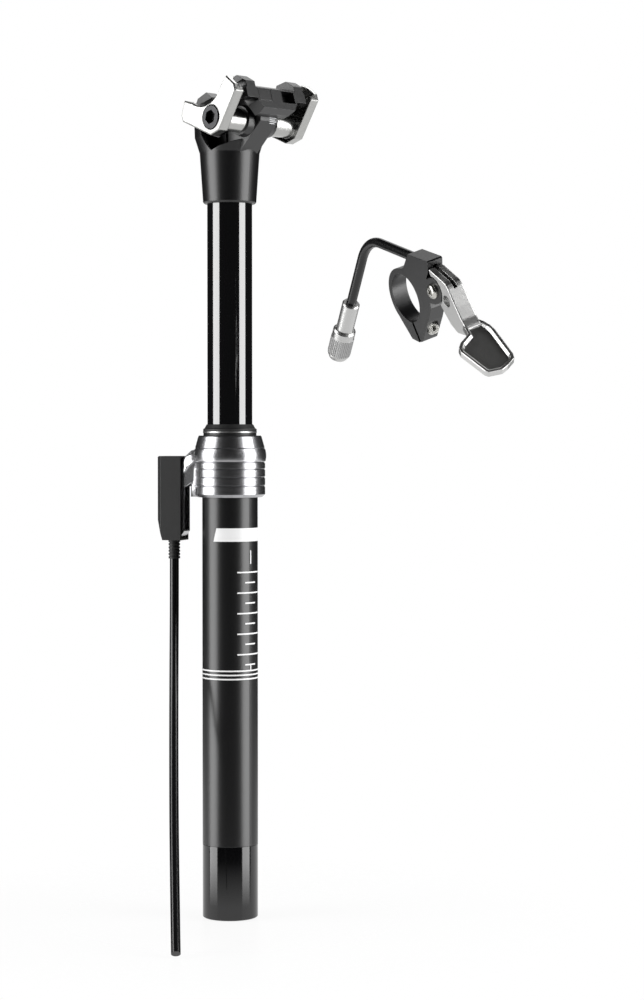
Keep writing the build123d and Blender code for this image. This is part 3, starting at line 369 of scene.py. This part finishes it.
# Collar and clamp plates: the collar is turned aluminium and the plates are
# forged and buffed. Both are clear anodised, and the plates are the glossier.
turned_metal = finish("turned_clear_anodised_aluminium", "#b2b2b4", (0.25, 0.27), 1400, Metallic=1.0)
dress(turned_metal, "collar")
polished = finish("polished_clear_anodised_aluminium", "#adadab", (0.18, 0.24), 1400, edge=0.0008,
                  Metallic=1.0)
dress(polished, "near_clamp_plate", "far_clamp_plate")

# Cradle's near front pocket: the real forging is closed here, so a flush block
# with broken edges fills it, anodised with the cradle.
BARREL_X, BARREL_Z = 0.017, 0.388
TILT = math.radians(17.5)
POCKET = (0.01622, -0.0076, 0.0056)  # the block's middle, in the tilted cradle's axes from the barrel
BLOCK_SIZE = (0.00494, 0.00814, 0.00594)
BLOCK_EDGE = 0.00018


def rounded_off(mesh, edges, offset, segments):
    """Round edges off with a bevel."""
    bmesh.ops.bevel(mesh, geom=edges, offset=offset, offset_type="OFFSET", affect="EDGES",
                    segments=segments, profile=0.5, material=-1, clamp_overlap=True)


cradle_place = Matrix.Translation((BARREL_X, 0.0, BARREL_Z)) @ Matrix.Rotation(-TILT, 4, "Y")
block_mesh = bmesh.new()
bmesh.ops.create_cube(block_mesh, size=1.0, matrix=cradle_place @ Matrix.Translation(POCKET)
                      @ Matrix.Diagonal((*BLOCK_SIZE, 1.0)))
rounded_off(block_mesh, block_mesh.edges[:], BLOCK_EDGE, 2)
cradle_block = mesh_object("cradle_block", block_mesh, satin_black)
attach(cradle_block, "cradle")

# Bracket arm: part of the same forging as the collar, a smooth band that sweeps
# out to the actuator, with an upright rib below it against the collar.
ARM_SEGMENTS = 48
SQUARENESS = 5  # exponent of the outline: 2 gives an ellipse, and more gives sharper corners
RIB_ROOT, RIB_HALF = 0.0138, 0.0072
arm_across = Vector((-arm_out.y, arm_out.x, 0.0))
arm_stations = [  # out along the arm, half width, lower and upper height
    (0.0142, 0.0090, 0.2236, 0.2300),
    (0.0155, 0.0078, 0.2234, 0.2298),
    (0.0170, 0.0064, 0.2228, 0.2293),
    (0.0190, 0.0053, 0.2212, 0.2283),
    (0.0210, 0.0048, 0.2188, 0.2272),
    (0.0240, 0.0046, 0.2158, 0.2256),
]
rib_stations = [  # height, and how far out the rib comes: less beside the actuator lever
    (0.2066, 0.0186),
    (0.2125, 0.0184),
    (0.2145, 0.0173),
    (0.2190, 0.0172),
    (0.2215, 0.0168),
    (0.2230, 0.0158),
]


def rounded(mesh, stations, place):
    """Skin over rounded rectangles, one at each station, which a function puts in space."""
    bmesh.ops.create_circle(mesh, segments=ARM_SEGMENTS, radius=1.0)
    ring = mesh.edges[:]
    corners = sorted(mesh.verts, key=lambda vert: math.atan2(vert.co.y, vert.co.x))
    unit = [(vert.co.x, vert.co.y) for vert in corners]
    for number, station in enumerate(stations):
        if number:
            grown = bmesh.ops.extrude_edge_only(mesh, edges=ring)["geom"]
            ring = [item for item in grown if isinstance(item, bmesh.types.BMEdge)]
            fresh = {vert for edge in ring for vert in edge.verts}
            corners = sorted(fresh, key=lambda vert: order_at[vert.co.copy().freeze()])
        order_at = {}
        for order, (vert, (x, y)) in enumerate(zip(corners, unit)):
            swell = (abs(x) ** SQUARENESS + abs(y) ** SQUARENESS) ** (-1 / SQUARENESS)
            vert.co = place(station, x * swell, y * swell)
            order_at[vert.co.copy().freeze()] = order
        if number in (0, len(stations) - 1):
            mesh.faces.new(corners)
    bmesh.ops.recalc_face_normals(mesh, faces=mesh.faces[:])


def on_arm(station, x, y):
    """Point of the band: across the arm and up it."""
    out, half, low, high = station
    return arm_out * out + arm_across * (half * x) + UP * ((low + high) / 2 + (high - low) / 2 * y)


def on_rib(station, x, y):
    """Point of the rib, whose inner side stays inside the collar."""
    height, reach = station
    out = RIB_ROOT + (reach - RIB_ROOT) * max(x, 0.0)
    return arm_out * out + arm_across * (RIB_HALF * y) + UP * height


band_mesh, rib_mesh = bmesh.new(), bmesh.new()
rounded(band_mesh, arm_stations, on_arm)
rounded(rib_mesh, rib_stations, on_rib)
bracket_band = mesh_object("bracket_band", band_mesh, turned_metal)
bracket_rib = mesh_object("bracket_rib", rib_mesh, turned_metal)
for piece in (bracket_band, bracket_rib):
    for face in piece.data.polygons:
        face.use_smooth = True
    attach(piece, "base")

# Thumb lever: cast aluminium, tumbled and buffed, softer than the clamp plates.
# A bored root turns on the clamp's screw, the arm has a slot for the cable and
# an eye, and the pad is dished for the thumb. Outlines are in millimetres.
REMOTE_ORIGIN = RIGHT * 0.0848 + UP * 0.298 + TOWARD * 0.131
LEVER_PIVOT = Vector((0.0026, 0.0274, 0.0))
LEVER_HALF, LEVER_EDGE = 0.0038, 0.0005
ROOT_HALF, ROOT_R = 0.0019, 0.005
BORE_R = 0.00206
EYE, EYE_R = Vector((0.0090, 0.0348, 0.0)), 0.0026
PUNCH_HALF = 0.006  # past both sides of the lever, so that the holes go right through
SLOT_HALF = 0.0009
EAR_CENTRE, EAR_ROOM = (2.6, 27.4), 6.3  # round cut in the arm that leaves room for the clamp's ear
PAD_START = Vector((0.0224, 0.0414, 0.0))
PAD_BACK, PAD_FACE = -0.0024, 0.0006
RIM_WIDTH, RIM_WALL, RIM_ROUND, DISH_DEPTH = 0.0014, 0.0009, 0.00045, 0.0013

bar_axis = (RIGHT * -0.850 + UP * -0.343 + TOWARD * 0.400).normalized()
clamp_down = RIGHT * 0.374 - UP * 0.927
clamp_down = (clamp_down - bar_axis * clamp_down.dot(bar_axis)).normalized()
remote_place = (Matrix.Translation(REMOTE_ORIGIN)
                @ Matrix((clamp_down, bar_axis.cross(clamp_down), bar_axis)).transposed().to_4x4())
pad_along = Vector((0.75, 0.661, 0.0)).normalized()
pad_across = Vector((0.0, 0.0, 1.0))
ear_arc = [(EAR_CENTRE[0] + EAR_ROOM * math.cos(math.radians(turn)),
            EAR_CENTRE[1] + EAR_ROOM * math.sin(math.radians(turn))) for turn in range(15, 160, 12)]
arm_outline = [
    (-6.7, 30.2), (1.2, 38.4), (2.6, 39.5), (4.6, 40.0), (13.0, 40.4), (19.0, 41.0), (22.2, 42.0),
    (23.4, 42.2), (24.0, 41.6), (25.4, 38.6), (23.2, 33.4), (18.8, 30.6), (11.6, 28.6),
    (8.9, 28.0), *ear_arc, (-4.9, 29.4),
]
root_outline = [(0.4, 26.0), (5.8, 26.0), (8.4, 34.6), (1.0, 35.0)]
slot_outline = [
    (-9.0, 27.0), (-5.5, 27.5), (8.2, 34.0), (8.6, 36.4), (4.2, 40.9), (1.0, 42.0), (-9.0, 33.0),
]
pad_outline = [
    (-3.0, -3.4), (0.6, -5.4), (4.0, -6.4), (7.4, -6.5), (23.7, -4.4), (26.4, -3.2), (28.8, 1.7),
    (29.8, 5.0), (28.4, 11.1), (26.6, 12.0), (12.3, 14.2), (9.6, 13.4), (7.2, 10.9), (4.4, 5.2),
    (-3.0, 3.4),
]


def slab(points, low, high):
    """Solid from an outline in millimetres, between two levels in metres."""
    mesh = bmesh.new()
    face = mesh.faces.new([mesh.verts.new((x / 1000, y / 1000, low)) for x, y in points])
    grown = bmesh.ops.extrude_face_region(mesh, geom=[face])["geom"]
    top = [item for item in grown if isinstance(item, bmesh.types.BMVert)]
    bmesh.ops.translate(mesh, verts=top, vec=(0, 0, high - low))
    bmesh.ops.recalc_face_normals(mesh, faces=mesh.faces[:])
    return mesh


def peg(radius, half, centre):
    """Upright cylinder about a point."""
    mesh = bmesh.new()
    bmesh.ops.create_cone(mesh, cap_ends=True, segments=40, radius1=radius, radius2=radius,
                          depth=2 * half, matrix=Matrix.Translation(centre))
    return mesh


def combined(base, other, how):
    """One bmesh cut from, or joined with, another."""
    piece, tool = mesh_object("piece", base), mesh_object("tool", other)
    change = piece.modifiers.new("change", "BOOLEAN")
    change.operation = how
    change.solver = "EXACT"
    change.object = tool
    result = bmesh.new()
    result.from_mesh(piece.evaluated_get(bpy.context.evaluated_depsgraph_get()).to_mesh())
    for used in (piece, tool):
        data = used.data
        bpy.data.objects.remove(used)
        bpy.data.meshes.remove(data)
    return result


pad_mesh = slab(pad_outline, PAD_BACK, PAD_FACE)
pad_top = max(pad_mesh.faces, key=lambda face: face.calc_center_median().z)
bmesh.ops.inset_region(pad_mesh, faces=[pad_top], thickness=RIM_WIDTH, depth=0.0)
bmesh.ops.inset_region(pad_mesh, faces=[pad_top], thickness=RIM_WALL, depth=-DISH_DEPTH)
rims = [edge for edge in pad_mesh.edges if not any(face is pad_top for face in edge.link_faces)]
rounded_off(pad_mesh, rims, RIM_ROUND, 2)
pad_turn = Matrix((pad_along, pad_across, pad_across.cross(pad_along))).transposed().to_4x4()
bmesh.ops.transform(pad_mesh, matrix=Matrix.Translation(PAD_START) @ pad_turn, verts=pad_mesh.verts[:])
bmesh.ops.recalc_face_normals(pad_mesh, faces=pad_mesh.faces[:])

lever_mesh = slab(arm_outline, -LEVER_HALF, LEVER_HALF)
rounded_off(lever_mesh, lever_mesh.edges[:], LEVER_EDGE, 3)
root_mesh = slab(root_outline, -ROOT_HALF, ROOT_HALF)
root_mesh = combined(root_mesh, peg(ROOT_R, ROOT_HALF, LEVER_PIVOT), "UNION")
for other, how in (
    (pad_mesh, "UNION"),
    (root_mesh, "UNION"),
    (peg(BORE_R, PUNCH_HALF, LEVER_PIVOT), "DIFFERENCE"),
    (peg(EYE_R, PUNCH_HALF, EYE), "DIFFERENCE"),
    (slab(slot_outline, -SLOT_HALF, SLOT_HALF), "DIFFERENCE"),
):
    lever_mesh = combined(lever_mesh, other, how)
bmesh.ops.remove_doubles(lever_mesh, verts=lever_mesh.verts[:], dist=0.000002)
bmesh.ops.recalc_face_normals(lever_mesh, faces=lever_mesh.faces[:])
bmesh.ops.transform(lever_mesh, matrix=remote_place, verts=lever_mesh.verts[:])
buffed = finish("buffed_cast_aluminium", "#c4c4c3", (0.30, 0.36), 900, edge=0.0003, Metallic=1.0)
lever = mesh_object("lever", lever_mesh, buffed)
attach(lever, "thumb")
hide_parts("thumb_lever")

# Adjuster, seal ring, actuator lever and the strut's shells: aluminium, turned or
# milled, bead blasted and clear anodised, which gives a soft even silver.
satin_silver = finish("satin_clear_anodised_aluminium", "#bdbdbc", (0.30, 0.36), 2500, relief=0.006,
                      edge=0.0003, Metallic=1.0)
dress(satin_silver, "adjuster_sleeve", "adjuster_barrel", "strut_cylinder", "strut_gland", "strut_plug",
      "actuator_lever", "seal_ring")

# Adjuster's grip: straight knurling rolled into the aluminium barrel, drawn
# about twice as coarse as the real 0.5 mm pitch so that it shows.
ADJUSTER_FOOT = Vector((0.0959386, -0.0173571, 0.2855266))
ADJUSTER_AXIS = Vector((-0.5764712, 0.3078243, -0.7569182))
ADJUSTER_R = 0.0052
KNURL_RIDGES = 36
KNURL_HEIGHT = 0.00022
KNURL_ROOT = 0.00005  # how far the grooves lie inside the barrel
KNURL_START, KNURL_LENGTH, KNURL_RUN_OUT = 0.0042, 0.0096, 0.0004

knurl_mesh = bmesh.new()
bmesh.ops.create_circle(knurl_mesh, segments=2 * KNURL_RIDGES, radius=ADJUSTER_R - KNURL_ROOT)
for vert in knurl_mesh.verts:
    vert.co.z = KNURL_START
rim = knurl_mesh.edges[:]
for lift, swell in ((KNURL_RUN_OUT, KNURL_HEIGHT), (KNURL_LENGTH - 2 * KNURL_RUN_OUT, 0.0),
                    (KNURL_RUN_OUT, -KNURL_HEIGHT)):
    grown = bmesh.ops.extrude_edge_only(knurl_mesh, edges=rim)["geom"]
    rim = [item for item in grown if isinstance(item, bmesh.types.BMEdge)]
    ring_verts = {vert for edge in rim for vert in edge.verts}
    for index, vert in enumerate(sorted(ring_verts, key=lambda vert: math.atan2(vert.co.y, vert.co.x))):
        vert.co.z += lift
        if index % 2:
            spread = 1 + swell / ADJUSTER_R
            vert.co.x *= spread
            vert.co.y *= spread
knurl_turn = ADJUSTER_AXIS.to_track_quat("Z", "Y").to_matrix().to_4x4()
bmesh.ops.transform(knurl_mesh, matrix=Matrix.Translation(ADJUSTER_FOOT) @ knurl_turn,
                    verts=knurl_mesh.verts[:])
knurled_silver = finish("knurled_clear_anodised_aluminium", "#909090", (0.36, 0.42), 2500, Metallic=1.0)
knurl = mesh_object("adjuster_knurling", knurl_mesh, knurled_silver)
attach(knurl, "adjuster")

# Tilt scale on the front of the head's web: fine lines laser marked through
# the black anodising, bare aluminium grey.
WEB_R = 0.011
SCALE_LINES, SCALE_LOW, SCALE_STEP = 6, -9.0, 4.6  # degrees from level, seen from the barrel's axis
SCALE_LINE = 1.8
SCALE_NEAR, LONG_LINE, SHORT_LINE = 0.0002, 0.0046, 0.0036


def marked(mesh, near, far, low, high):
    """Patch on the web's round front between two places across it and two angles up it."""
    reach = WEB_R + INK
    for vert in bmesh.ops.create_grid(mesh, x_segments=1, y_segments=1, size=0.5)["verts"]:
        turn = math.radians(high if vert.co.y > 0 else low)
        across = far if vert.co.x > 0 else near
        vert.co = (BARREL_X + reach * math.cos(turn), across, BARREL_Z + reach * math.sin(turn))


laser_grey = finish("laser_marked_aluminium", "#a9aaab", (0.4, 0.55), 4000, relief=0.05, Metallic=0.6)
scale_mesh = bmesh.new()
for line in range(SCALE_LINES):
    angle = SCALE_LOW + SCALE_STEP * line
    marked(scale_mesh, SCALE_NEAR, LONG_LINE if line % 2 else SHORT_LINE, angle, angle + SCALE_LINE)
tilt_scale = mesh_object("tilt_scale", scale_mesh, laser_grey)
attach(tilt_scale, "upper")

# Noodle: a bent steel tube that guides the cable, powder coated gloss black,
# with the faint ripple of a thick coat in its highlight.
noodle_black = finish("gloss_black_powder_coat", "#0b0b0c", (0.2, 0.3), 1200, relief=0.06, IOR=1.5)
dress(noodle_black, "noodle_pipe")

# Actuator cover, seal carrier and strut piston: glass-filled nylon, moulded
# with a spark-eroded texture that keeps its highlights wide and dull.
moulded = finish("black_moulded_nylon", "#101010", (0.36, 0.5), 2200, relief=0.12, edge=0.0005, IOR=1.53)
dress(moulded, "actuator_cover", "seal_carrier", "strut_piston")

# Wiper seal, strain relief and top-out bumper: moulded black rubber, matt. The
# seal is pressed into its carrier and the relief is pushed over the housing.
rubber = finish("black_nitrile_rubber", "#0c0c0c", (0.5, 0.65), 1500, relief=0.1, edge=0.0002, IOR=1.52)
dress(rubber, "wiper_seal", "strain_relief", "topout_bumper")

# Bushings and keys: rings of bearing plastic that the stanchion slides in, and
# machined brass keys that stop it from turning, all hidden inside the post.
bearing = finish("tan_bearing_plastic", "#b8b0a0", (0.35, 0.5), 1500, relief=0.03, IOR=1.53)
dress(bearing, "upper_bushing", "lower_bushing")
brass = finish("machined_brass", "#c8a868", (0.25, 0.35), 2500, relief=0.03, Metallic=1.0)
dress(brass, "guide_keys")

# Clamp bolt, cover screws and strut bolt: cold-headed steel with a black oxide
# skin, dark grey with a metal sheen.
black_steel = finish("black_oxide_steel", "#3c3c3d", (0.22, 0.30), 1800, relief=0.005, edge=0.0003,
                     Metallic=1.0)
dress(black_steel, "clamp_bolt", "cover_screws", "strut_bolt")

# Screws, pins, nuts, rod and wire: machined or drawn steel, plated with bright
# zinc.
bright_steel = finish("zinc_plated_steel", "#c0bfba", (0.2, 0.28), 2000, relief=0.005, edge=0.0003,
                      Metallic=1.0)
dress(bright_steel, "clamp_nut", "lever_pivot_pin", "push_pin", "release_bar", "valve_pin",
      "release_wire", "housing_ferrule", "strut_rod", "pinch_bolt", "pinch_nut", "lever_screw")

# Return spring: music wire wound round the release wire, under the actuator lever's nose. The lever
# shortens the real one when the cable is pulled; this coil is drawn at one length.
SPRING_FOOT, SPRING_TOP = 0.191, 0.21776
SPRING_R, SPRING_WIRE = 0.00175, 0.0004
SPRING_TURNS, STEPS_A_TURN = 12, 20

spring_centre = Vector((cable_points[0].x, cable_points[0].y, 0.0))
wire_start = spring_centre + Vector((SPRING_R, 0, SPRING_FOOT + SPRING_WIRE))
spring_steps = SPRING_TURNS * STEPS_A_TURN
spring_rise = SPRING_TOP - SPRING_FOOT - 2 * SPRING_WIRE
spring_mesh = bmesh.new()
bmesh.ops.create_circle(spring_mesh, cap_ends=True, segments=8, radius=SPRING_WIRE,
                        matrix=Matrix.Translation(wire_start) @ Matrix.Rotation(math.pi / 2, 4, "X"))
bmesh.ops.spin(spring_mesh, geom=spring_mesh.faces[:], cent=spring_centre, axis=UP,
               angle=math.tau * SPRING_TURNS, steps=spring_steps, dvec=UP * (spring_rise / spring_steps))
bmesh.ops.recalc_face_normals(spring_mesh, faces=spring_mesh.faces[:])
return_coil = mesh_object("return_coil", spring_mesh, bright_steel)
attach(return_coil, "base")
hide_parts("return_spring")
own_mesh(return_coil)
